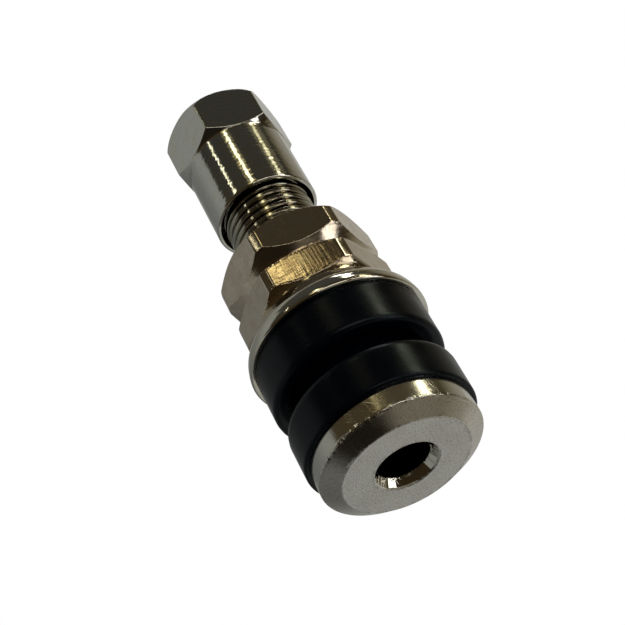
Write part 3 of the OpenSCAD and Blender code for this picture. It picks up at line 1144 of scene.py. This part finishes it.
@dataclass
class Studio:
    """White surroundings, the room that the metal mirrors, a pale floor and the lamps."""

    room_turn: float = 15.6
    white: Colour = (1.0, 1.0, 1.0)
    soft_light: Colour = (0.62, 0.61, 0.59)
    floor_colour: Colour = (0.82, 0.82, 0.81)
    floor_rough: float = 0.9
    floor_grain: float = 900.0
    floor_drop: float = 0.00005
    floor_half: float = 0.5
    floor_fade: Span = (0.06, 0.30)
    left_table: Ramp = (
        (0.0, (0.12, 0.125, 0.125)), (0.20, (0.165, 0.17, 0.165)), (0.30, (0.19, 0.195, 0.185)),
        (0.38, (0.24, 0.245, 0.23)), (0.46, (0.265, 0.27, 0.25)), (0.55, (0.255, 0.26, 0.24)),
    )
    right_table: Ramp = (
        (0.0, (0.36, 0.36, 0.34)), (0.18, (0.46, 0.46, 0.44)), (0.26, (0.42, 0.41, 0.37)),
        (0.30, (0.29, 0.27, 0.23)), (0.36, (0.28, 0.265, 0.22)), (0.44, (0.21, 0.19, 0.145)),
        (0.53, (0.10, 0.088, 0.050)), (0.57, (0.075, 0.065, 0.036)),
    )
    room: Ramp = (
        (0.0, (0.012, 0.009, 0.005)), (0.15, (0.022, 0.015, 0.007)), (0.50, (0.040, 0.027, 0.012)),
        (0.80, (0.050, 0.036, 0.018)), (0.845, (0.036, 0.035, 0.029)), (1.0, (0.060, 0.058, 0.050)),
    )
    below: tuple[Colour, Colour] = ((0.013, 0.011, 0.008), (0.20, 0.185, 0.15))
    table_sides: Span = (-0.35, 0.35)
    below_sides: Span = (-0.1, 0.2)
    below_height: Span = (-0.85, -0.6)
    room_edge: Span = (0.07, 0.13)
    lamps: tuple[Lamp, ...] = (
        Lamp("left_tube", -36.5, 38.5, 50.0, 3.4, 2.0, (1.0, 0.96, 0.70)),
        Lamp("middle_tube", 7.5, 40.4, 50.0, 6.0, 2.4, (1.0, 0.95, 0.62)),
        Lamp("middle_halo", 7.0, 40.6, 50.0, 18.0, 0.10, (1.0, 0.88, 0.42)),
        Lamp("gold_panel", 7.4, 38.0, 40.4, 17.0, 1.7, (1.0, 0.81, 0.38)),
        Lamp("middle_glow", 4.0, 30.0, 38.0, 3.0, 0.8, (1.0, 0.86, 0.45)),
        Lamp("right_tube", 68.0, 18.0, 40.5, 9.0, 4.6, (1.0, 0.95, 0.68)),
        Lamp("right_tube_top", 72.5, 40.5, 50.0, 6.5, 0.9, (1.0, 0.93, 0.56)),
        Lamp("right_high", 64.0, 53.0, 72.0, 13.0, 4.2, (1.0, 0.98, 0.92)),
        Lamp("right_halo", 74.0, 40.6, 54.0, 26.0, 0.09, (1.0, 0.88, 0.45)),
        Lamp("right_window", 74.0, -42.0, -14.0, 19.0, 1.8, (1.0, 0.98, 0.94)),
        Lamp("low_front", 24.0, -12.0, 8.0, 34.0, 1.7, (1.0, 0.97, 0.86)),
        Lamp("low_right", 60.0, -12.0, 8.0, 28.0, 1.3, (1.0, 0.97, 0.88)),
    )

    def build(self) -> None:
        """Sets the world, the floor and the lamps."""
        scene = bpy.context.scene
        scene.view_settings.view_transform = "Standard"
        world = bpy.data.worlds.new("studio")
        world.use_nodes = True
        world.cycles.sampling_method = "NONE"
        scene.world = world
        self._light_world(world.node_tree)
        self._lay_floor()
        for lamp in self.lamps:
            lamp.build()

    def _light_world(self, tree: bpy.types.NodeTree) -> None:
        """Makes the world white to the camera, soft on matte surfaces and a room in the metal.

        Args:
            tree: The world's node tree.
        """
        tree.nodes.clear()
        graph = Graph(tree)
        turn = math.radians(self.room_turn)
        direction = graph.add("TexCoord")["Generated"]
        facing, aside, height = (
            graph.vector_math("DOT_PRODUCT", direction, axis)["Value"]
            for axis in (
                (math.sin(turn), -math.cos(turn), 0.0),
                (math.cos(turn), math.sin(turn), 0.0),
                (0.0, 0.0, 1.0),
            )
        )
        share = graph.add_up(0.5, (facing, 0.5))
        left, right = graph.ramp(share, self.left_table), graph.ramp(share, self.right_table)
        table = graph.blend(graph.spread(aside, *self.table_sides), left, right)
        room = graph.ramp(graph.add_up(0.5, (height, 0.5)), self.room)
        below = graph.blend(graph.spread(aside, *self.below_sides), *self.below)
        mirrored = graph.blend(graph.spread(facing, *self.room_edge), table, room)
        mirrored = graph.blend(graph.under(height, *self.below_height), mirrored, below)
        path = graph.add("LightPath")
        colour = graph.blend(path["Is Glossy Ray"], self.soft_light, mirrored)
        colour = graph.blend(path["Is Camera Ray"], colour, self.white)
        graph.add("OutputWorld", {0: graph.add("Background", {"Color": colour})[0]})

    def _lay_floor(self) -> None:
        """Lays a pale floor under the head, which shows only from above."""
        mesh = bpy.data.meshes.new("floor")
        half = self.floor_half
        corners = [(-half, -half), (half, -half), (half, half), (-half, half)]
        mesh.from_pydata([(x, y, -self.floor_drop) for x, y in corners], [], [(0, 1, 2, 3)])
        floor = bpy.data.objects.new("floor", mesh)
        bpy.context.scene.collection.objects.link(floor)
        material, graph, shader = new_material("pale_floor")
        point = graph.add("TexCoord")["Object"]
        shade = graph.spread(graph.noise(point, self.floor_grain, 3.0), 0.3, 0.7, 0.96, 1.0)
        colour = graph.blend(shade, (0.0, 0.0, 0.0), self.floor_colour)
        graph.fill(shader.inputs, {"Base Color": colour, "Roughness": self.floor_rough})
        path = graph.add("LightPath")
        behind = graph.add("NewGeometry")["Backfacing"]
        in_front = graph.math("SUBTRACT", 1.0, behind)
        near = graph.under(graph.vector_math("LENGTH", point)["Value"], *self.floor_fade)
        shown = graph.times(graph.times(path["Is Camera Ray"], in_front), near)
        clear = graph.add("BsdfTransparent")[0]
        either = graph.add("MixShader", {0: shown, 1: clear, 2: shader.outputs[0]})
        graph.fill(graph.tree.nodes["Material Output"].inputs, {0: either[0]})
        mesh.materials.append(material)


@dataclass
class PhotoCamera:
    """The photograph's camera, in metres, with its lens in millimetres."""

    place: Colour = (0.0, -0.102005, -0.061976)
    right: Colour = (0.872405, 0.302515, -0.383920)
    up: Colour = (0.488759, -0.531960, 0.691472)
    back: Colour = (0.004950, -0.790888, -0.611941)
    lens: float = 92.16
    sensor: float = 36.0
    clip: Span = (0.001, 10.0)

    def build(self) -> None:
        """Sets up the camera and makes it the scene's own."""
        data = bpy.data.cameras.new("photo_camera")
        data.lens = self.lens
        data.sensor_width = self.sensor
        data.clip_start, data.clip_end = self.clip
        camera = bpy.data.objects.new("photo_camera", data)
        axes = Matrix((self.right, self.up, self.back)).transposed()
        camera.matrix_world = Matrix.Translation(self.place) @ axes.to_4x4()
        bpy.context.scene.collection.objects.link(camera)
        bpy.context.scene.camera = camera


def main() -> None:
    """Builds the studio and every piece of the valve, in order."""
    logging.basicConfig(level=logging.INFO, format="%(name)s: %(message)s")
    Studio().build()
    PhotoCamera().build()
    shelf = Shelf()
    upper = HexNut(
        shelf, name="plated_lock_nut", node="lock_nut", body="lock_nut_body", slot="plated_nut",
        z=18.85, h=4.4, chamfer=45.0, turn=13.0,
    )
    below = (TurnedStem(shelf), RimRings(shelf), BellWasher(shelf), HexNut(shelf))
    for assembly in (*below, upper, ScrewCap(shelf), ValveCore(shelf)):
        for name in assembly.build():
            LOG.info("%s: %s", type(assembly).__name__, name)


if __name__ == "__main__":
    main()
